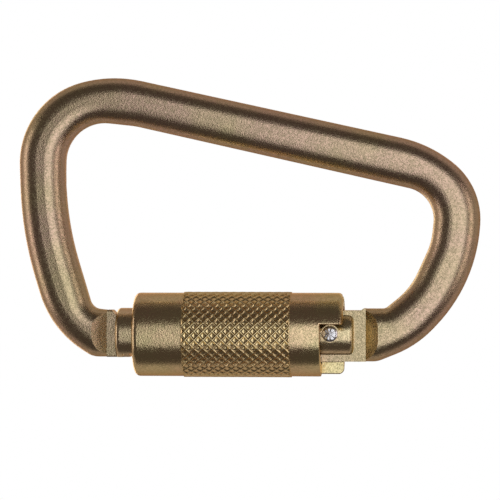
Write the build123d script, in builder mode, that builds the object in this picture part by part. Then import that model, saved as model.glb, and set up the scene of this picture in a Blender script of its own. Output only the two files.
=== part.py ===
"""Locking carabiner: a forged steel D-shaped frame, a gate that swings inwards on a rivet,
and a knurled quarter-turn sleeve that locks the gate shut.

Millimetres. +X runs along the gate towards the hinge, +Z from the gate towards the spine,
and -Y is the front. The outlines are drawn on planes whose own origin is the point of the
gate's axis level with the hinge rivet. The part's origin is the anchor seat, the middle of
the inside curve at the wide end, where the anchor ring hangs."""

import os
from math import cos, radians, tan

from build123d import *

os.makedirs("parts", exist_ok=True)

# ---- driving dimensions -------------------------------------------------------------------
FRAME_THICKNESS = 11.0  # front flat to back flat of the forged bar
FORGING_ROUND = 5.0  # rounding along the bar's four long edges
NOSE_THICKNESS = 6.2  # the flattened nose that enters the gate
TANG_THICKNESS = 5.4  # the flattened hinge end between the gate's ears

PIN_HEIGHT = 0.4  # the rivet sits this far above the gate's axis
RIVET_RADIUS = 1.5
RIVET_HEAD_RADIUS = 2.1
GATE_SWING = 35.0  # degrees the gate opens

ROD_RADIUS = 6.6
EAR_RADIUS = 5.9  # the rod is turned down where it carries the rivet
COLLAR_RADIUS = 6.95  # and left thicker where it shows at the nose
ROD_NOSE_X = -56.4
ROD_HINGE_X = 6.05

SLEEVE_RADIUS = 11.0
SLEEVE_NOSE_X = -51.6
SLEEVE_HINGE_X = 3.4
SLEEVE_GUIDE_RADIUS = 6.7  # bore that runs on the rod at the nose end
SLEEVE_BORE_RADIUS = 7.9  # wider bore that holds the return spring
KNURL_ROOT_RADIUS = 10.8
KNURL_START_X, KNURL_END_X = -38.6, -10.3
RELEASE_SLOT = 5.8  # width of the sleeve's slot that lets the tang through

RUNNING_CLEARANCE = 0.05
PRESS_INTERFERENCE = 0.01

# ---- outline of the bow, (x, z) from the gate's axis under the rivet -------------------------
NOSE_X, NOSE_BOTTOM, NOSE_TOP = -58.9, -5.92, 6.45
HINGE_X, HINGE_BOTTOM, HINGE_TOP = 9.2, -6.97, 6.92

OUTER_CORNERS = [
    (NOSE_X, NOSE_BOTTOM),
    (-62.9, NOSE_BOTTOM),
    (-74.0, 1.1),
    (-81.8, 26.5),
    (-82.95, 62.1),
    (-57.85, 68.55),
    (25.6, 50.05),
    (39.75, 39.0),
    (38.0, 13.45),
    (22.6, -2.8),
    (12.2, HINGE_BOTTOM),
    (HINGE_X, HINGE_BOTTOM),
]
OUTER_RADII = [0, 5.6, 27, 94, 21.9, 34.1, 32.8, 18.9, 41.6, 28, 5.8, 0]
INNER_CORNERS = [
    (HINGE_X, HINGE_TOP),
    (14.3, HINGE_TOP),
    (20.9, 12.3),
    (26.3, 24.2),
    (27.6, 36.8),
    (-51.7, 54.9),
    (-69.7, 56.9),
    (-70.6, 32.0),
    (-63.0, 6.9),
    (NOSE_X, NOSE_TOP),
]
INNER_RADII = [0, 2, 19.2, 16.7, 8.3, 18, 10.2, 81, 3.2, 0]

# The anchor seat is the middle of the inside arc at the wide end's outer corner.
with BuildLine() as inner_side:
    FilletPolyline(*INNER_CORNERS, radius=INNER_RADII[1:-1])
seat_arc = inner_side.edges().filter_by(GeomType.CIRCLE).sort_by(Axis.X)[1]
seat = seat_arc @ 0.5

# ---- planes and axes shared by the pieces ----------------------------------------------------
gate_point = Vector(-seat.X, 0, -seat.Y)
front = Plane(origin=gate_point, x_dir=(1, 0, 0), z_dir=(0, -1, 0))
plan = Plane(origin=gate_point, x_dir=(1, 0, 0), z_dir=(0, 0, 1))
gate_axis = Axis(gate_point, (1, 0, 0))


def across(x):
    """The plane across the gate at x, with its own x towards the back and its own y up."""
    return Plane(origin=gate_point + Vector(x, 0, 0), x_dir=(0, 1, 0), z_dir=(1, 0, 0))


def save(piece, name):
    piece.label = name
    export_step(piece, f"parts/{name}.step")


# ---- body: one forging from the nose round the spine to the hinge tang ------------------------
NOSE_RAMP_LENGTH, TANG_RAMP_LENGTH = 3.75, 3.3  # the milled slopes down to the flats
RAMP_OVERCUT = 1.3  # the cutter runs out past the bar's face by this share
T_HEAD_START_X, T_HEAD_END_X = -54.2, -52.8
T_HEAD_TOP, T_HEAD_HALF_WIDTH, T_HEAD_RADIUS = 3.0, 4.6, 6.45
NOSE_SLOPE_START_X, NOSE_SLOPE_END_X = -57.6, -54.6
TANG_LEFT_X, TANG_TOP = -5.6, 6.4
TANG_HEEL_X, TANG_HEEL_Z = -2.9, -4.6  # the lower corner is cut off between these two
TANG_STEP_START_X, TANG_STEP_END_X = 7.9, 8.6
TANG_RADII = [0, 1.2, 1.2, 4.0, 0.8, 0.5, 0]
EDGE_BREAK = 0.4

with BuildPart() as bow:
    with BuildSketch(front):
        with BuildLine():
            FilletPolyline(
                *OUTER_CORNERS, *INNER_CORNERS, radius=OUTER_RADII + INNER_RADII, close=True
            )
        make_face()
    extrude(amount=FRAME_THICKNESS / 2, both=True)
    rims = bow.edges().group_by(Axis.Y)
    fillet((rims[0] + rims[-1]) - bow.edges().filter_by(Axis.Z), radius=FORGING_ROUND)
    with BuildSketch(plan):
        for end_x, thickness, length in (
            (NOSE_X, NOSE_THICKNESS, -NOSE_RAMP_LENGTH),
            (HINGE_X, TANG_THICKNESS, TANG_RAMP_LENGTH),
        ):
            flat = thickness / 2
            run_out_x = end_x + RAMP_OVERCUT * length
            run_out_y = flat + RAMP_OVERCUT * (FRAME_THICKNESS / 2 - flat)
            with BuildLine():
                Polyline((end_x, flat), (run_out_x, run_out_y), (end_x, run_out_y), close=True)
            make_face()
        mirror(about=Plane.XZ)
    extrude(amount=2 * HINGE_TOP, both=True, mode=Mode.SUBTRACT)

with BuildPart() as nose:
    with BuildSketch(front):
        with BuildLine():
            Polyline(
                (NOSE_X, NOSE_BOTTOM),
                (T_HEAD_START_X, NOSE_BOTTOM),
                (T_HEAD_START_X, T_HEAD_TOP),
                (NOSE_SLOPE_END_X, T_HEAD_TOP),
                (NOSE_SLOPE_START_X, NOSE_TOP),
                (NOSE_X, NOSE_TOP),
                close=True,
            )
        make_face()
    extrude(amount=NOSE_THICKNESS / 2, both=True)
    chamfer(nose.faces().filter_by(Axis.Y).edges().filter_by(Axis.X), length=EDGE_BREAK)

with BuildPart() as t_head:
    with BuildSketch(across(T_HEAD_START_X)):
        Circle(T_HEAD_RADIUS)
        with Locations((0, (NOSE_BOTTOM + T_HEAD_TOP) / 2)):
            Rectangle(2 * T_HEAD_HALF_WIDTH, T_HEAD_TOP - NOSE_BOTTOM, mode=Mode.INTERSECT)
    extrude(amount=T_HEAD_END_X - T_HEAD_START_X)

with BuildPart() as tang:
    with BuildSketch(front):
        with BuildLine():
            FilletPolyline(
                (HINGE_X, HINGE_BOTTOM),
                (TANG_HEEL_X, HINGE_BOTTOM),
                (TANG_LEFT_X, TANG_HEEL_Z),
                (TANG_LEFT_X, TANG_TOP),
                (TANG_STEP_START_X, TANG_TOP),
                (TANG_STEP_END_X, HINGE_TOP),
                (HINGE_X, HINGE_TOP),
                radius=TANG_RADII,
                close=True,
            )
        make_face()
        with Locations((0, PIN_HEIGHT)):
            Circle(RIVET_RADIUS + RUNNING_CLEARANCE, mode=Mode.SUBTRACT)
    extrude(amount=TANG_THICKNESS / 2, both=True)

with BuildPart() as body:
    add(bow.part)
    add(nose.part)
    add(t_head.part)
    add(tang.part)
save(body.part, "body")

# ---- gate rod: turned bar with a T slot at the nose and a fork at the hinge --------------------
ROD_NOSE_ROUND, EAR_ROUND = 1.2, 1.3
COLLAR_END_X, EAR_START_X = -51.75, -7.5
FORK_SLOT, FORK_BOTTOM_X = 5.7, -8.2
NECK_SLOT, NECK_SLOT_END_X, NECK_SLOT_ROOF = 6.5, -54.5, 5.35
T_POCKET_WIDTH, T_POCKET_START_X, T_POCKET_END_X = 9.8, -54.55, -52.0
T_POCKET_ROOF = 3.25
CUT_THROUGH = 2.0  # how far past the rod its cutters run
PLUNGER_BORE_RADIUS, PLUNGER_BORE_END_X = 2.0, -40.0
RING_GROOVE_X, RING_GROOVE_WIDTH = -48.5, 1.4
RING_GROOVE_ROD_RADIUS, RING_GROOVE_SLEEVE_RADIUS = 5.9, 7.35
SPRING_HOLE_X, SPRING_HOLE_RADIUS, SPRING_HOLE_DEPTH = -44.0, 0.55, 2.2
SPOTFACE_RADIUS, SPOTFACE_Y = 2.35, 5.2

with BuildPart() as gate_rod:
    with BuildSketch(front):
        with BuildLine():
            Polyline(
                (ROD_NOSE_X, 0),
                (ROD_NOSE_X, COLLAR_RADIUS),
                (COLLAR_END_X, COLLAR_RADIUS),
                (COLLAR_END_X, ROD_RADIUS),
                (RING_GROOVE_X - RING_GROOVE_WIDTH / 2, ROD_RADIUS),
                (RING_GROOVE_X - RING_GROOVE_WIDTH / 2, RING_GROOVE_ROD_RADIUS),
                (RING_GROOVE_X + RING_GROOVE_WIDTH / 2, RING_GROOVE_ROD_RADIUS),
                (RING_GROOVE_X + RING_GROOVE_WIDTH / 2, ROD_RADIUS),
                (EAR_START_X, ROD_RADIUS),
                (EAR_START_X, EAR_RADIUS),
                (ROD_HINGE_X, EAR_RADIUS),
                (ROD_HINGE_X, 0),
                close=True,
            )
        make_face()
    revolve(axis=gate_axis)
    fillet(gate_rod.edges().filter_by(GeomType.CIRCLE).group_by(Axis.X)[0], radius=ROD_NOSE_ROUND)
    fillet(gate_rod.edges().filter_by(GeomType.CIRCLE).group_by(Axis.X)[-1], radius=EAR_ROUND)
    with BuildSketch(front):
        with Locations((FORK_BOTTOM_X, 0)):
            Rectangle(
                ROD_HINGE_X - FORK_BOTTOM_X + CUT_THROUGH,
                2 * ROD_RADIUS + CUT_THROUGH,
                align=(Align.MIN, Align.CENTER),
            )
    extrude(amount=FORK_SLOT / 2, both=True, mode=Mode.SUBTRACT)
    with BuildSketch(front):
        with Locations((NECK_SLOT_END_X, NECK_SLOT_ROOF)):
            Rectangle(
                NECK_SLOT_END_X - ROD_NOSE_X + CUT_THROUGH,
                2 * ROD_RADIUS,
                align=(Align.MAX, Align.MAX),
            )
    extrude(amount=NECK_SLOT / 2, both=True, mode=Mode.SUBTRACT)
    with BuildSketch(front):
        with Locations((T_POCKET_START_X, T_POCKET_ROOF)):
            Rectangle(
                T_POCKET_END_X - T_POCKET_START_X,
                T_POCKET_ROOF + COLLAR_RADIUS + CUT_THROUGH,
                align=(Align.MIN, Align.MAX),
            )
    extrude(amount=T_POCKET_WIDTH / 2, both=True, mode=Mode.SUBTRACT)
    # The underside of the collar is flat, level with the bottom of the frame's nose.
    with BuildSketch(front):
        with Locations((ROD_NOSE_X, NOSE_BOTTOM)):
            Rectangle(
                T_POCKET_END_X - ROD_NOSE_X, CUT_THROUGH, align=(Align.MIN, Align.MAX)
            )
    extrude(amount=COLLAR_RADIUS, both=True, mode=Mode.SUBTRACT)
    with BuildSketch(across(PLUNGER_BORE_END_X)):
        Circle(PLUNGER_BORE_RADIUS)
    extrude(amount=FORK_BOTTOM_X - PLUNGER_BORE_END_X + CUT_THROUGH, mode=Mode.SUBTRACT)
    with BuildSketch(front):
        with Locations((0, PIN_HEIGHT)):
            Circle(RIVET_RADIUS)
    extrude(amount=ROD_RADIUS + CUT_THROUGH, both=True, mode=Mode.SUBTRACT)
    for side in (-1, 1):
        with BuildSketch(front.offset(side * SPOTFACE_Y)):
            with Locations((0, PIN_HEIGHT)):
                Circle(SPOTFACE_RADIUS)
        extrude(amount=side * CUT_THROUGH, mode=Mode.SUBTRACT)
    with BuildSketch(plan.offset(ROD_RADIUS - SPRING_HOLE_DEPTH)):
        with Locations((SPRING_HOLE_X, 0)):
            Circle(SPRING_HOLE_RADIUS)
    extrude(amount=SPRING_HOLE_DEPTH + CUT_THROUGH, mode=Mode.SUBTRACT)
save(gate_rod.part, "gate_rod")

# ---- hinge rivet: fixed in the ears, its front head also stops the sleeve's turn ---------------
RIVET_FRONT, RIVET_BACK = 8.0, 7.2  # how far the heads stand from the middle plane
HEAD_DOME = 0.7

with BuildPart() as hinge_rivet:
    with BuildSketch(front.offset(-SPOTFACE_Y)):
        with Locations((0, PIN_HEIGHT)):
            Circle(RIVET_RADIUS)
    extrude(amount=2 * SPOTFACE_Y)
    with BuildSketch(front.offset(SPOTFACE_Y)):
        with Locations((0, PIN_HEIGHT)):
            Circle(RIVET_HEAD_RADIUS)
    extrude(amount=RIVET_FRONT - SPOTFACE_Y)
    fillet(hinge_rivet.edges().group_by(Axis.Y)[0], radius=HEAD_DOME)
    with BuildSketch(front.offset(-SPOTFACE_Y)):
        with Locations((0, PIN_HEIGHT)):
            Circle(RIVET_HEAD_RADIUS)
    extrude(amount=SPOTFACE_Y - RIVET_BACK)
    fillet(hinge_rivet.edges().group_by(Axis.Y)[-1], radius=HEAD_DOME)
save(hinge_rivet.part, "hinge_rivet")

# ---- gate plunger and its spring: they press on the tang and swing the gate shut ---------------
PLUNGER_RADIUS = 1.9
PLUNGER_TIP_X, PLUNGER_TAIL_X = -5.65, -14.0
GATE_SPRING_WIRE, GATE_SPRING_MEAN_RADIUS, GATE_SPRING_TURNS = 0.5, 1.5, 9
SPRING_END_GAP = 0.02
PLUNGER_EDGE_BREAK = 0.3

with BuildPart() as gate_plunger:
    with BuildSketch(across(PLUNGER_TAIL_X)):
        Circle(PLUNGER_RADIUS)
    extrude(amount=PLUNGER_TIP_X - PLUNGER_TAIL_X)
    chamfer(gate_plunger.edges().filter_by(GeomType.CIRCLE), length=PLUNGER_EDGE_BREAK)
save(gate_plunger.part, "gate_plunger")

gate_spring_start = PLUNGER_BORE_END_X + GATE_SPRING_WIRE / 2 + SPRING_END_GAP
gate_spring_length = PLUNGER_TAIL_X - GATE_SPRING_WIRE / 2 - SPRING_END_GAP - gate_spring_start

with BuildPart() as gate_spring:
    with BuildLine() as gate_coil:
        Helix(
            pitch=gate_spring_length / GATE_SPRING_TURNS,
            height=gate_spring_length,
            radius=GATE_SPRING_MEAN_RADIUS,
            center=gate_point + Vector(gate_spring_start, 0, 0),
            direction=(1, 0, 0),
        )
    with BuildSketch(Plane(gate_coil.line @ 0, z_dir=gate_coil.line % 0)):
        Circle(GATE_SPRING_WIRE / 2)
    sweep(path=gate_coil.line, is_frenet=True)
save(gate_spring.part, "gate_spring")

# ---- locking sleeve: knurled tube, bored for the rod and its return spring ---------------------
SLEEVE_END_ROUND = 1.45
GUIDE_END_X = -46.0
SLOT_START_X = -2.5
SLOT_RIM_ROUND = 0.35
RELIEF_WIDTH, RELIEF_CLEARANCE, RIM_NOTCH_X = 5.9, 0.15, 3.0
SLEEVE_OVERCUT = 1.0  # how far past the sleeve its cutters run
MATCH = 0.01  # two lengths this close are the same


def on_slot_rim(edge):
    """True for the three long edges where the slot breaks the sleeve's outside."""
    middle = edge @ 0.5 - gate_point
    inside_ends = SLOT_START_X - MATCH < middle.X < SLEEVE_HINGE_X - SLEEVE_END_ROUND
    return inside_ends and abs(Vector(0, middle.Y, middle.Z).length - SLEEVE_RADIUS) < MATCH


with BuildPart() as locking_sleeve:
    with BuildSketch(front):
        with BuildLine():
            Polyline(
                (SLEEVE_NOSE_X, SLEEVE_GUIDE_RADIUS),
                (SLEEVE_NOSE_X, SLEEVE_RADIUS),
                (KNURL_START_X, SLEEVE_RADIUS),
                (KNURL_START_X, KNURL_ROOT_RADIUS),
                (KNURL_END_X, KNURL_ROOT_RADIUS),
                (KNURL_END_X, SLEEVE_RADIUS),
                (SLEEVE_HINGE_X, SLEEVE_RADIUS),
                (SLEEVE_HINGE_X, SLEEVE_BORE_RADIUS),
                (GUIDE_END_X, SLEEVE_BORE_RADIUS),
                (GUIDE_END_X, SLEEVE_GUIDE_RADIUS),
                (RING_GROOVE_X + RING_GROOVE_WIDTH / 2, SLEEVE_GUIDE_RADIUS),
                (RING_GROOVE_X + RING_GROOVE_WIDTH / 2, RING_GROOVE_SLEEVE_RADIUS),
                (RING_GROOVE_X - RING_GROOVE_WIDTH / 2, RING_GROOVE_SLEEVE_RADIUS),
                (RING_GROOVE_X - RING_GROOVE_WIDTH / 2, SLEEVE_GUIDE_RADIUS),
                close=True,
            )
        make_face()
    revolve(axis=gate_axis)
    outer_rims = locking_sleeve.edges().filter_by(
        lambda e: e.geom_type == GeomType.CIRCLE and abs(e.radius - SLEEVE_RADIUS) < MATCH
    )
    rim_groups = outer_rims.group_by(Axis.X)
    fillet(rim_groups[0] + rim_groups[-1], radius=SLEEVE_END_ROUND)
    # The slot runs a quarter of the way round, from the front to the underside.
    with BuildSketch(across(SLOT_START_X)):
        with Locations((RELEASE_SLOT / 2, RELEASE_SLOT / 2)):
            Rectangle(
                SLEEVE_RADIUS + RELEASE_SLOT,
                SLEEVE_RADIUS + RELEASE_SLOT,
                align=(Align.MAX, Align.MAX),
            )
    extrude(amount=SLEEVE_HINGE_X - SLOT_START_X + SLEEVE_OVERCUT, mode=Mode.SUBTRACT)
    slot_rims = locking_sleeve.edges().filter_by(on_slot_rim)
    fillet(slot_rims, radius=SLOT_RIM_ROUND)
    # Inside the top wall a sloping pocket clears the knuckle as the gate swings.
    swing = radians(GATE_SWING)
    knuckle_rise = PIN_HEIGHT + (TANG_TOP - PIN_HEIGHT) / cos(swing) + RELIEF_CLEARANCE
    with BuildSketch(front):
        with BuildLine():
            Polyline(
                (SLOT_START_X, 0),
                (SLOT_START_X, knuckle_rise + SLOT_START_X * tan(swing)),
                (RIM_NOTCH_X, knuckle_rise + RIM_NOTCH_X * tan(swing)),
                (RIM_NOTCH_X, SLEEVE_RADIUS + SLEEVE_OVERCUT),
                (SLEEVE_HINGE_X + SLEEVE_OVERCUT, SLEEVE_RADIUS + SLEEVE_OVERCUT),
                (SLEEVE_HINGE_X + SLEEVE_OVERCUT, 0),
                close=True,
            )
        make_face()
    extrude(amount=RELIEF_WIDTH / 2, both=True, mode=Mode.SUBTRACT)
save(locking_sleeve.part, "locking_sleeve")

# ---- guide bush: pressed into the sleeve's bore, runs on the rod and anchors the spring --------
BUSH_START_X, BUSH_END_X = -11.5, -8.5
BUSH_BORE_RADIUS = 6.68
SPRING_LEG_HOLE_RADIUS, SPRING_LEG_HOLE_DEPTH = 0.5, 2.2
SPRING_MEAN_RADIUS = 7.2

with BuildPart() as guide_bush:
    with BuildSketch(across(BUSH_START_X)):
        Circle(SLEEVE_BORE_RADIUS + PRESS_INTERFERENCE)
        Circle(BUSH_BORE_RADIUS, mode=Mode.SUBTRACT)
    extrude(amount=BUSH_END_X - BUSH_START_X)
    with BuildSketch(across(BUSH_START_X)):
        with Locations((0, SPRING_MEAN_RADIUS)):
            Circle(SPRING_LEG_HOLE_RADIUS)
    extrude(amount=SPRING_LEG_HOLE_DEPTH, mode=Mode.SUBTRACT)
save(guide_bush.part, "guide_bush")

# ---- sleeve return spring: a torsion coil round the rod -----------------------------------------
SLEEVE_SPRING_WIRE, SLEEVE_SPRING_TURNS = 0.9, 14
SLEEVE_SPRING_END_X = -13.0
SPRING_LEG_DROP, SPRING_LEG_REACH = 2.6, 3.4  # into the rod's hole and the bush's hole
sleeve_spring_length = SLEEVE_SPRING_END_X - SPRING_HOLE_X

with BuildPart() as sleeve_spring:
    with BuildLine() as sleeve_coil:
        Helix(
            pitch=sleeve_spring_length / SLEEVE_SPRING_TURNS,
            height=sleeve_spring_length,
            radius=SPRING_MEAN_RADIUS,
            center=gate_point + Vector(SPRING_HOLE_X, 0, 0),
            direction=(1, 0, 0),
        )
    with BuildSketch(Plane(sleeve_coil.line @ 0, z_dir=sleeve_coil.line % 0)):
        Circle(SLEEVE_SPRING_WIRE / 2)
    sweep(path=sleeve_coil.line, is_frenet=True)
    with BuildSketch(plan.offset(SPRING_MEAN_RADIUS)):
        with Locations((SPRING_HOLE_X, 0)):
            Circle(SLEEVE_SPRING_WIRE / 2)
    extrude(amount=-SPRING_LEG_DROP)
    with BuildSketch(across(SLEEVE_SPRING_END_X)):
        with Locations((0, SPRING_MEAN_RADIUS)):
            Circle(SLEEVE_SPRING_WIRE / 2)
    extrude(amount=SPRING_LEG_REACH)
    with Locations(sleeve_coil.line @ 0, sleeve_coil.line @ 1):
        Sphere(SLEEVE_SPRING_WIRE / 2)
save(sleeve_spring.part, "sleeve_spring")

# ---- retaining ring: a wire C ring that holds the sleeve along the rod --------------------------
RING_WIRE, RING_MEAN_RADIUS, RING_GAP = 1.2, 6.6, 50

with BuildPart() as retaining_ring:
    with BuildSketch(front):
        with Locations((RING_GROOVE_X, RING_MEAN_RADIUS)):
            Circle(RING_WIRE / 2)
    revolve(axis=gate_axis, revolution_arc=360 - RING_GAP)
save(retaining_ring.part, "retaining_ring")
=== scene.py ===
"""Locking carabiner in yellow-chromated steel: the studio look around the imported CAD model."""

import math

import bpy
from mathutils import Matrix, Vector


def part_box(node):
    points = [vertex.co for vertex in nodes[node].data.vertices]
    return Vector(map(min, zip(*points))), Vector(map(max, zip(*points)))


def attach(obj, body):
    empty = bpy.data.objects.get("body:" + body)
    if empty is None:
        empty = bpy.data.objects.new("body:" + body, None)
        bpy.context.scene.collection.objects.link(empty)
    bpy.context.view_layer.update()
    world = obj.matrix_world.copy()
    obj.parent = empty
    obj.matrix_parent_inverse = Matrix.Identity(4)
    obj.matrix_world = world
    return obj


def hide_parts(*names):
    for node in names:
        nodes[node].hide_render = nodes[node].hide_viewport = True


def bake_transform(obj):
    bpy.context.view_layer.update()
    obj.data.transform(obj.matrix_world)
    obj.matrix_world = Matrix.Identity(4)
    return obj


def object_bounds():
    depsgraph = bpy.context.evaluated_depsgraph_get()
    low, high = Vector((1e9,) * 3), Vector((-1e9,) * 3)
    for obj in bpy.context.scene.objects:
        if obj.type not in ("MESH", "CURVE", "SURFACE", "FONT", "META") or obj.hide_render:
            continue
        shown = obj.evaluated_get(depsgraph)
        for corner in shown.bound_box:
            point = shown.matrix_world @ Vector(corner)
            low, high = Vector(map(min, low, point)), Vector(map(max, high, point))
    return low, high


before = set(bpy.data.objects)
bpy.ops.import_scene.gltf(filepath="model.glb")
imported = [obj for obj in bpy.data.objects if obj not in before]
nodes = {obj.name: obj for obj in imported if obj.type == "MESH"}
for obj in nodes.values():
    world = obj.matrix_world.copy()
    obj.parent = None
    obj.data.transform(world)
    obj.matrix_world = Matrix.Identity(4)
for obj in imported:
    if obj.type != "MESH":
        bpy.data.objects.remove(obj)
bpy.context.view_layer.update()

# ==== camera and studio ========================================================================
# The carabiner stands upright and is seen square to its front, from slightly to its hinge
# side. A large softbox lights the front, strips light the sides and the left rims, and the
# surround glows behind the object and is dim in front of it.
MM = 0.001
CAMERA_DISTANCE = 0.68
CAMERA_TURN = math.radians(4.45)
VIEW_WIDTH = 131.6 * MM
SENSOR_WIDTH = 36
AIM_SHIFT = Vector((0.32 * MM, 0, -6.07 * MM))  # from the middle of the object's box
low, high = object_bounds()
aim = (low + high) / 2 + AIM_SHIFT

camera_data = bpy.data.cameras.new("camera")
camera_data.sensor_width = SENSOR_WIDTH
camera_data.lens = SENSOR_WIDTH * CAMERA_DISTANCE / VIEW_WIDTH
camera_data.clip_start = 0.01
camera = bpy.data.objects.new("camera", camera_data)
toward_camera = Vector((math.sin(CAMERA_TURN), -math.cos(CAMERA_TURN), 0))
camera.location = aim + toward_camera * CAMERA_DISTANCE
camera.rotation_euler = (math.pi / 2, 0, CAMERA_TURN)
bpy.context.scene.collection.objects.link(camera)
bpy.context.scene.camera = camera
bpy.context.scene.view_settings.view_transform = "Standard"

LIGHT_DISTANCE = 1.0
WHITE, WARM, COOL = (1, 1, 1), (1.0, 0.86, 0.80), (0.85, 0.92, 1.0)


def softbox(name, azimuth, elevation, width, height, power, colour):
    """An area light that faces the carabiner; azimuth 0 is in front and 90 past the hinge."""
    light = bpy.data.lights.new(name, "AREA")
    light.shape = "RECTANGLE"
    light.size, light.size_y = width, height
    light.energy = power
    light.color = colour
    lamp = bpy.data.objects.new(name, light)
    turn, rise = math.radians(azimuth), math.radians(elevation)
    out = Vector(
        (math.sin(turn) * math.cos(rise), -math.cos(turn) * math.cos(rise), math.sin(rise))
    )
    lamp.location = aim + out * LIGHT_DISTANCE
    lamp.rotation_euler = out.to_track_quat("Z", "Y").to_euler()
    bpy.context.scene.collection.objects.link(lamp)


softbox("front_softbox", 15, -3, width=0.8, height=1.2, power=3.4, colour=WHITE)
softbox("hinge_side_strip", 66, 0, width=0.4, height=0.9, power=1.3, colour=WARM)
softbox("nose_side_strip", -80, 0, width=0.4, height=0.9, power=1.3, colour=WARM)
softbox("rim_strip", -150, 0, width=0.4, height=1.0, power=2.2, colour=COOL)
softbox("back_softbox", 180, 10, width=0.8, height=0.6, power=0.6, colour=WHITE)


def feed(tree, target, source):
    """Links source into the target socket, or sets the target if source is a plain value."""
    if isinstance(source, bpy.types.NodeSocket):
        tree.links.new(source, target)
    else:
        target.default_value = source


def spread(tree, value, low_end, high_end, value_low=0.0, value_high=1.0):
    """Maps a value that runs from value_low to value_high onto low_end to high_end."""
    node = tree.nodes.new("ShaderNodeMapRange")
    feed(tree, node.inputs["Value"], value)
    feed(tree, node.inputs["From Min"], value_low)
    feed(tree, node.inputs["From Max"], value_high)
    feed(tree, node.inputs["To Min"], low_end)
    feed(tree, node.inputs["To Max"], high_end)
    return node.outputs["Result"]


def blended_colour(tree, factor, first, second):
    """The first colour where factor is 0 and the second where it is 1."""
    node = tree.nodes.new("ShaderNodeMix")
    node.data_type = "RGBA"
    factor_in, *_, first_in, second_in = [put for put in node.inputs if put.enabled]
    feed(tree, factor_in, factor)
    feed(tree, first_in, first)
    feed(tree, second_in, second)
    return [put for put in node.outputs if put.enabled][0]


BACK_GLOW, FRONT_GLOW, BACKDROP_GLOW = 0.40, 0.07, 1.0
GLOW_EDGE = 0.04  # half width of the change from front to back
SURROUND_TINT, BACKDROP_WHITE = (1.0, 0.82, 0.73, 1), (1, 1, 1, 1)
world = bpy.data.worlds.new("studio")
bpy.context.scene.world = world
world.use_nodes = True
sky = world.node_tree
sky.nodes.clear()
direction = sky.nodes.new("ShaderNodeTexCoord")
split = sky.nodes.new("ShaderNodeSeparateXYZ")
path = sky.nodes.new("ShaderNodeLightPath")
background = sky.nodes.new("ShaderNodeBackground")
sky_out = sky.nodes.new("ShaderNodeOutputWorld")
seen = path.outputs["Is Camera Ray"]
feed(sky, split.inputs["Vector"], direction.outputs["Generated"])
glow = spread(sky, split.outputs["Y"], FRONT_GLOW, BACK_GLOW, -GLOW_EDGE, GLOW_EDGE)
feed(sky, background.inputs["Color"], blended_colour(sky, seen, SURROUND_TINT, BACKDROP_WHITE))
feed(sky, background.inputs["Strength"], spread(sky, seen, glow, BACKDROP_GLOW))
feed(sky, sky_out.inputs["Surface"], background.outputs["Background"])

FLOOR_RADIUS, FLOOR_DROP = 0.3, 0.075
FLOOR_COLOUR = (0.9, 0.9, 0.9, 1)
bpy.ops.object.select_all(action="DESELECT")
bpy.ops.mesh.primitive_circle_add(
    vertices=96, radius=FLOOR_RADIUS, fill_type="NGON", location=(0, 0, 0)
)
floor = bpy.context.object
floor.name = "floor"
floor.data.transform(Matrix.Translation((aim.x, 0, low.z - FLOOR_DROP)))
floor_paint = bpy.data.materials.new("floor_paint")
floor_paint.use_nodes = True
floor_shader = floor_paint.node_tree.nodes["Principled BSDF"]
floor_shader.inputs["Base Color"].default_value = FLOOR_COLOUR
floor.data.materials.append(floor_paint)
floor.visible_glossy = False  # the plating shows the dark of the studio there, not the floor

# ==== frame forging =============================================================================
# One steel bar, forged to a D with flat faces, shot peened, milled flat at the nose and hinge,
# then zinc plated and yellow chromated. It is the piece that every other one hangs from.


def socket(tree, name, kind, way, value=None):
    """Adds an input or an output to a node group."""
    made = tree.interface.new_socket(name=name, in_out=way, socket_type=kind)
    if value is not None:
        made.default_value = value


def shot_peened():
    """Group: the fine pitted grain of peened or tumbled steel under plating."""
    tree = bpy.data.node_groups.new("shot_peened", "ShaderNodeTree")
    socket(tree, "Grain per Metre", "NodeSocketFloat", "INPUT", 2200.0)
    socket(tree, "Height", "NodeSocketFloat", "OUTPUT")
    socket(tree, "Fleck", "NodeSocketFloat", "OUTPUT")
    grain = tree.nodes.new("NodeGroupInput").outputs["Grain per Metre"]
    group_out = tree.nodes.new("NodeGroupOutput")
    place = tree.nodes.new("ShaderNodeTexCoord").outputs["Object"]
    pits = tree.nodes.new("ShaderNodeTexNoise")
    pits.inputs["Detail"].default_value = 2.0
    pits.inputs["Roughness"].default_value = 0.6
    flecks = tree.nodes.new("ShaderNodeTexVoronoi")
    for texture in (pits, flecks):
        feed(tree, texture.inputs["Vector"], place)
        feed(tree, texture.inputs["Scale"], grain)
    fleck = tree.nodes.new("ShaderNodeSeparateColor")
    feed(tree, fleck.inputs["Color"], flecks.outputs["Color"])
    feed(tree, group_out.inputs["Height"], pits.outputs[0])
    feed(tree, group_out.inputs["Fleck"], fleck.outputs["Red"])
    return tree


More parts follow.
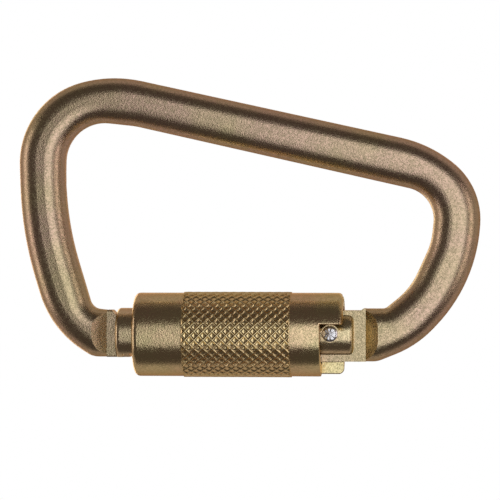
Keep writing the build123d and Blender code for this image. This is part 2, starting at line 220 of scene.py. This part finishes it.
def chromate():
    """Group: the drifting gold and rose of a yellow chromate film, flecked olive by grain."""
    drift_per_metre, drift_low, drift_high, most_olive = 60.0, 0.38, 0.62, 0.5
    tree = bpy.data.node_groups.new("chromate", "ShaderNodeTree")
    socket(tree, "Gold", "NodeSocketColor", "INPUT", (0.6, 0.45, 0.25, 1))
    socket(tree, "Rose", "NodeSocketColor", "INPUT", (0.6, 0.4, 0.3, 1))
    socket(tree, "Olive", "NodeSocketColor", "INPUT", (0.4, 0.38, 0.18, 1))
    socket(tree, "Fleck", "NodeSocketFloat", "INPUT", 0.5)
    socket(tree, "Color", "NodeSocketColor", "OUTPUT")
    group_in = tree.nodes.new("NodeGroupInput")
    group_out = tree.nodes.new("NodeGroupOutput")
    place = tree.nodes.new("ShaderNodeTexCoord")
    drift = tree.nodes.new("ShaderNodeTexNoise")
    drift.inputs["Scale"].default_value = drift_per_metre
    drift.inputs["Detail"].default_value = 3.0
    feed(tree, drift.inputs["Vector"], place.outputs["Object"])
    # The noise seldom leaves its middle, so that is stretched over the two colours.
    rosy = spread(tree, drift.outputs[0], 0.0, 1.0, drift_low, drift_high)
    film = blended_colour(tree, rosy, group_in.outputs["Gold"], group_in.outputs["Rose"])
    flecked = spread(tree, group_in.outputs["Fleck"], 0.0, most_olive)
    colour = blended_colour(tree, flecked, film, group_in.outputs["Olive"])
    feed(tree, group_out.inputs["Color"], colour)
    return tree


peened_group = shot_peened()
chromate_group = chromate()
GRAZING_TINT = (0.85, 0.62, 0.42, 1)


def plated_steel(name, gold, rose, olive, grain, bump, roughness):
    """Chromated steel: a drifting film over grained metal. bump is in millimetres."""
    material = bpy.data.materials.new(name)
    material.use_nodes = True
    tree = material.node_tree
    metal = tree.nodes["Principled BSDF"]
    metal.inputs["Metallic"].default_value = 1.0
    metal.inputs["Specular Tint"].default_value = GRAZING_TINT
    peen = tree.nodes.new("ShaderNodeGroup")
    peen.node_tree = peened_group
    peen.inputs["Grain per Metre"].default_value = grain
    film = tree.nodes.new("ShaderNodeGroup")
    film.node_tree = chromate_group
    film.inputs["Gold"].default_value = (*gold, 1)
    film.inputs["Rose"].default_value = (*rose, 1)
    film.inputs["Olive"].default_value = (*olive, 1)
    relief = tree.nodes.new("ShaderNodeBump")
    relief.inputs["Strength"].default_value = 1.0
    relief.inputs["Distance"].default_value = bump * MM
    feed(tree, film.inputs["Fleck"], peen.outputs["Fleck"])
    feed(tree, relief.inputs["Height"], peen.outputs["Height"])
    feed(tree, metal.inputs["Roughness"], spread(tree, peen.outputs["Fleck"], *roughness))
    feed(tree, metal.inputs["Normal"], relief.outputs["Normal"])
    feed(tree, metal.inputs["Base Color"], film.outputs["Color"])
    return material


def finish_node(name, material):
    """Gives a piece that the CAD model already shows its material."""
    slots = nodes[name].data.materials
    slots.clear()
    slots.append(material)


forging_plate = plated_steel(
    "chromate_forging",
    gold=(0.66, 0.53, 0.33),
    rose=(0.68, 0.48, 0.37),
    olive=(0.38, 0.36, 0.20),
    grain=3000.0,
    bump=0.05,
    roughness=(0.2, 0.4),
)
finish_node("body", forging_plate)

# ==== gate rod ==================================================================================
# Turned steel bar, slotted at both ends, plated with the sleeve. It carries the rivet, the
# plunger and both springs, and shows only at the ends of the sleeve.
rod_plate = plated_steel(
    "chromate_rod",
    gold=(0.84, 0.72, 0.44),
    rose=(0.84, 0.62, 0.42),
    olive=(0.54, 0.50, 0.28),
    grain=2600.0,
    bump=0.04,
    roughness=(0.18, 0.34),
)
finish_node("gate_rod", rod_plate)
finish_node("gate_plunger", rod_plate)

# ==== locking sleeve ============================================================================
# Turned steel tube with a quarter slot at the hinge end. It turns a quarter on the rod against
# its spring, and its middle is knurled for grip.
sleeve_plate = plated_steel(
    "chromate_sleeve",
    gold=(0.84, 0.72, 0.40),
    rose=(0.86, 0.62, 0.40),
    olive=(0.50, 0.48, 0.24),
    grain=2600.0,
    bump=0.04,
    roughness=(0.15, 0.32),
)
finish_node("locking_sleeve", sleeve_plate)

# ==== knurled band ==============================================================================
# Rolled diamond knurl in the middle of the sleeve: thin raised ridges cross in a net, with
# a dished diamond pit in every mesh, all standing a little proud of the plain ends.
KNURL_RADIUS = 11.24 * MM
KNURL_ROUND_COUNT, KNURL_LONG_COUNT = 30, 12
KNURL_FROM_END, KNURL_LENGTH = 13.0 * MM, 28.3 * MM
RIDGE_HALF, RIDGE_DROP = 0.12 * MM, 0.07 * MM
PIT_WALL, PIT_DROP = 0.31 * MM, 0.25 * MM
BACKING = 0.15 * MM
sleeve_low, sleeve_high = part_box("locking_sleeve")
gate_height = (sleeve_low.z + sleeve_high.z) / 2
knurl_start = sleeve_low.x + KNURL_FROM_END

bpy.ops.object.select_all(action="DESELECT")
bpy.ops.mesh.primitive_grid_add(
    x_subdivisions=KNURL_LONG_COUNT, y_subdivisions=1, size=1, location=(0, 0, 0)
)
knurl = bpy.context.object
knurl.name = "knurl_band"
knurl.scale = (KNURL_LENGTH, KNURL_LENGTH, 1)
bpy.ops.object.transform_apply(location=False, rotation=False, scale=True)

# Only one row of the grid's corners is kept. It is a line of edges along the sleeve, which is
# spun round the gate's axis into a tube of squares.
bpy.ops.object.mode_set(mode="EDIT")
bpy.ops.mesh.select_all(action="DESELECT")
bpy.ops.object.mode_set(mode="OBJECT")
for corner in knurl.data.vertices:
    corner.select = corner.co.y > 0
bpy.ops.object.mode_set(mode="EDIT")
bpy.ops.mesh.delete(type="VERT")
bpy.ops.mesh.select_all(action="SELECT")
knurl_middle = Vector((knurl_start + KNURL_LENGTH / 2, 0, gate_height))
bpy.ops.transform.translate(
    value=knurl_middle + Vector((0, KNURL_LENGTH / 2 - KNURL_RADIUS, 0))
)
bpy.ops.mesh.spin(
    steps=KNURL_ROUND_COUNT, angle=2 * math.pi, center=knurl_middle, axis=(1, 0, 0)
)
bpy.ops.mesh.select_all(action="SELECT")
bpy.ops.mesh.normals_make_consistent(inside=False)

# Each square is split from its middle, and the squares' own edges are dissolved, so that
# what is left between the middles and the corners is a net of diamonds.
bpy.ops.object.mode_set(mode="OBJECT")
square_edges = {tuple(sorted(edge.vertices)) for edge in knurl.data.edges}
knurl_end = knurl_start + KNURL_LENGTH
rim_reach = KNURL_LENGTH / KNURL_LONG_COUNT / 4
bpy.ops.object.mode_set(mode="EDIT")
bpy.ops.mesh.select_all(action="SELECT")
bpy.ops.mesh.poke()
bpy.ops.mesh.select_mode(type="EDGE")
bpy.ops.mesh.select_all(action="DESELECT")
bpy.ops.object.mode_set(mode="OBJECT")
for edge in knurl.data.edges:
    ends = [knurl.data.vertices[i].co.x for i in edge.vertices]
    on_rim = max(ends) < knurl_start + rim_reach or min(ends) > knurl_end - rim_reach
    edge.select = tuple(sorted(edge.vertices)) in square_edges and not on_rim
bpy.ops.object.mode_set(mode="EDIT")
bpy.ops.mesh.dissolve_edges(use_verts=False)
bpy.ops.object.mode_set(mode="OBJECT")
for corner in knurl.data.vertices:  # the middles of the squares go out to the full radius
    out = Vector((0, corner.co.y, corner.co.z - gate_height))
    corner.co += out.normalized() * (KNURL_RADIUS - out.length)
bpy.ops.object.mode_set(mode="EDIT")
bpy.ops.mesh.select_mode(type="FACE")
bpy.ops.mesh.select_all(action="SELECT")
for width, drop in ((RIDGE_HALF, RIDGE_DROP), (PIT_WALL, PIT_DROP)):
    bpy.ops.mesh.inset(thickness=width, depth=-drop, use_individual=True, use_even_offset=True)
bpy.ops.mesh.poke()  # the selected floors are split evenly from their middles
bpy.ops.object.mode_set(mode="OBJECT")
for face in knurl.data.polygons:  # only the ridges are rounded; the pits' walls stay crisp
    corners = [knurl.data.vertices[i].co for i in face.vertices]
    reach = max(Vector((0, corner.y, corner.z - gate_height)).length for corner in corners)
    face.use_smooth = reach > KNURL_RADIUS - RIDGE_DROP / 2
backing = knurl.modifiers.new("backing", "SOLIDIFY")
backing.thickness = BACKING
backing.offset = -1
bpy.ops.object.modifier_apply(modifier="backing")
knurl_plate = plated_steel(
    "chromate_knurl",
    gold=(0.94, 0.78, 0.40),
    rose=(0.88, 0.68, 0.38),
    olive=(0.66, 0.58, 0.30),
    grain=2600.0,
    bump=0.01,
    roughness=(0.12, 0.25),
)
knurl.data.materials.append(knurl_plate)
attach(knurl, "sleeve")

# ==== hinge rivet ===============================================================================
# Bright zinc-plated steel rivet through the rod's ears and the frame's tang. Its front head
# is peened into a low dome with the punch's marks, and its back head is left plain.
rivet_low, rivet_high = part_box("hinge_rivet")
rivet_middle = (rivet_low + rivet_high) / 2
head_radius = (rivet_high.x - rivet_low.x) / 2
SHANK_RADIUS, HEAD_SEAT, DOME_RISE = 1.5 * MM, 5.2 * MM, 0.55 * MM
RING_RISES = (0.0, 0.55, 0.22, 0.13, 0.10)  # shares of the dome's rise, from the rim inwards
RING_WIDTHS = (0.04, 0.16, 0.24, 0.26, 0.26)  # shares of the head's radius
PUNCH_MARKS, PUNCH_DEPTH, PUNCH_TURN = 8, 0.16 * MM, 0.6  # the turn is in radians
MARK_START, MARK_MIDDLE, MARK_END = 0.1, 0.45, 0.8  # shares of the head's radius


def rivet_head(name, face_y, toward, punched):
    """A domed rivet head: its rim stands at the seat and its crown at face_y."""
    bpy.ops.object.select_all(action="DESELECT")
    depth = abs(face_y) - HEAD_SEAT - DOME_RISE
    bpy.ops.mesh.primitive_cylinder_add(
        vertices=4 * PUNCH_MARKS,
        radius=head_radius,
        depth=depth,
        location=(0, 0, 0),
        rotation=(math.pi / 2, 0, 0),
    )
    head = bpy.context.object
    head.name = name
    bpy.ops.object.transform_apply(location=False, rotation=True, scale=False)
    seat_to_rim = toward * (HEAD_SEAT + depth / 2)
    bpy.ops.object.mode_set(mode="EDIT")
    bpy.ops.mesh.select_all(action="SELECT")
    bpy.ops.transform.translate(value=(rivet_middle.x, seat_to_rim, rivet_middle.z))
    bpy.ops.mesh.select_mode(type="FACE")
    bpy.ops.mesh.select_all(action="DESELECT")
    bpy.ops.object.mode_set(mode="OBJECT")
    outermost = max(head.data.polygons, key=lambda face: face.center.y * toward)
    outermost.select = True
    bpy.ops.object.mode_set(mode="EDIT")
    for rise, width in zip(RING_RISES, RING_WIDTHS):
        bpy.ops.mesh.inset(thickness=width * head_radius, depth=rise * DOME_RISE)
    bpy.ops.mesh.poke()
    bpy.ops.object.mode_set(mode="OBJECT")
    if punched:
        for corner in head.data.vertices:
            side = Vector((corner.co.x - rivet_middle.x, 0, corner.co.z - rivet_middle.z))
            spoke = math.cos(PUNCH_MARKS * math.atan2(side.z, side.x) + PUNCH_TURN)
            reach = side.length / head_radius
            if MARK_START < reach < MARK_END:
                fade = 1 - abs(reach - MARK_MIDDLE)
                corner.co.y -= toward * PUNCH_DEPTH * max(spoke, 0) * fade
    crown = head.modifiers.new("rounding", "SUBSURF")
    crown.levels = crown.render_levels = 2
    bpy.ops.object.modifier_apply(modifier="rounding")
    bpy.ops.object.shade_smooth()
    return head


front_head = rivet_head("rivet_front_head", rivet_low.y, -1, True)
back_head = rivet_head("rivet_back_head", rivet_high.y, 1, False)
bpy.ops.object.select_all(action="DESELECT")
bpy.ops.mesh.primitive_cylinder_add(
    vertices=32, radius=SHANK_RADIUS, depth=2 * HEAD_SEAT, rotation=(math.pi / 2, 0, 0)
)
shank = bpy.context.object
bpy.ops.object.transform_apply(location=False, rotation=True, scale=False)
bpy.ops.object.mode_set(mode="EDIT")
bpy.ops.mesh.select_all(action="SELECT")
bpy.ops.transform.translate(value=(rivet_middle.x, 0, rivet_middle.z))
bpy.ops.object.mode_set(mode="OBJECT")
for part in (front_head, back_head, shank):
    part.select_set(True)
bpy.context.view_layer.objects.active = front_head
bpy.ops.object.join()
rivet = bpy.context.object
rivet.name = "peened_rivet"


def bright_steel(name, colour, roughness, scuffs_per_metre):
    """Bare or bright-plated steel with fine scuffs that vary its gloss and darken it."""
    scuffed_share, scuff_depth = 0.72, 0.02 * MM
    material = bpy.data.materials.new(name)
    material.use_nodes = True
    tree = material.node_tree
    metal = tree.nodes["Principled BSDF"]
    metal.inputs["Metallic"].default_value = 1.0
    place = tree.nodes.new("ShaderNodeTexCoord")
    scuffs = tree.nodes.new("ShaderNodeTexNoise")
    scuffs.inputs["Scale"].default_value = scuffs_per_metre
    scuffs.inputs["Detail"].default_value = 4.0
    relief = tree.nodes.new("ShaderNodeBump")
    relief.inputs["Distance"].default_value = scuff_depth
    scuff = scuffs.outputs[0]
    dulled = [scuffed_share * channel for channel in colour]
    feed(tree, scuffs.inputs["Vector"], place.outputs["Object"])
    feed(tree, relief.inputs["Height"], scuff)
    feed(tree, metal.inputs["Roughness"], spread(tree, scuff, *roughness))
    shade = blended_colour(tree, scuff, (*dulled, 1), (*colour, 1))
    feed(tree, metal.inputs["Base Color"], shade)
    feed(tree, metal.inputs["Normal"], relief.outputs["Normal"])
    return material


rivet_metal = bright_steel(
    "bright_zinc", colour=(0.93, 0.94, 1.0), roughness=(0.14, 0.34), scuffs_per_metre=2200.0
)
rivet.data.materials.clear()
rivet.data.materials.append(rivet_metal)
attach(rivet, "gate")
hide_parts("hinge_rivet")

# ==== sleeve spring, ring and bush =============================================================
# Hidden inside the sleeve: a torsion coil and a retaining ring of drawn spring wire on the
# rod, and a turned steel bush pressed into the sleeve's bore.
spring_wire = bright_steel(
    "drawn_spring_wire", colour=(0.55, 0.55, 0.58), roughness=(0.2, 0.4), scuffs_per_metre=900.0
)
bush_steel = bright_steel(
    "turned_bush_steel", colour=(0.50, 0.48, 0.44), roughness=(0.25, 0.45), scuffs_per_metre=700.0
)
finish_node("sleeve_spring", spring_wire)
finish_node("retaining_ring", spring_wire)
finish_node("guide_bush", bush_steel)

# ==== gate spring ===============================================================================
# Drawn wire coil behind the plunger, in the rod's bore. In the real gate one end stays with the
# rod and the other follows the plunger, so the coil closes up a little as the gate opens; the
# coil made here is one fixed shape.
COIL_TURNS, COIL_STEPS, WIRE_RADIUS = 9, 24, 0.25 * MM
coil_low, coil_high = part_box("gate_spring")
coil_start, coil_end = coil_low.x + WIRE_RADIUS, coil_high.x - WIRE_RADIUS
coil_radius = (coil_high.z - coil_low.z) / 2 - WIRE_RADIUS
bpy.ops.object.select_all(action="DESELECT")
bpy.ops.mesh.primitive_circle_add(
    vertices=10, radius=WIRE_RADIUS, location=(0, 0, 0), rotation=(math.pi / 2, 0, 0)
)
coil = bpy.context.object
coil.name = "gate_coil"
coil.location = (coil_radius, 0, 0)
bpy.ops.object.transform_apply(location=True, rotation=True, scale=False)
turns = coil.modifiers.new("turns", "SCREW")
turns.iterations = COIL_TURNS
turns.screw_offset = (coil_end - coil_start) / COIL_TURNS
turns.steps = turns.render_steps = COIL_STEPS
bpy.ops.object.modifier_apply(modifier="turns")
bpy.ops.object.mode_set(mode="EDIT")
bpy.ops.mesh.select_all(action="SELECT")
bpy.ops.mesh.fill_holes(sides=0)
bpy.ops.mesh.normals_make_consistent(inside=False)
bpy.ops.object.mode_set(mode="OBJECT")
coil.rotation_euler = (0, math.pi / 2, 0)
coil.location = (coil_start, 0, gate_height)
bpy.ops.object.transform_apply(location=True, rotation=True, scale=False)
bpy.ops.object.shade_smooth()
coil.data.materials.append(spring_wire)
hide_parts("gate_spring")
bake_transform(coil)
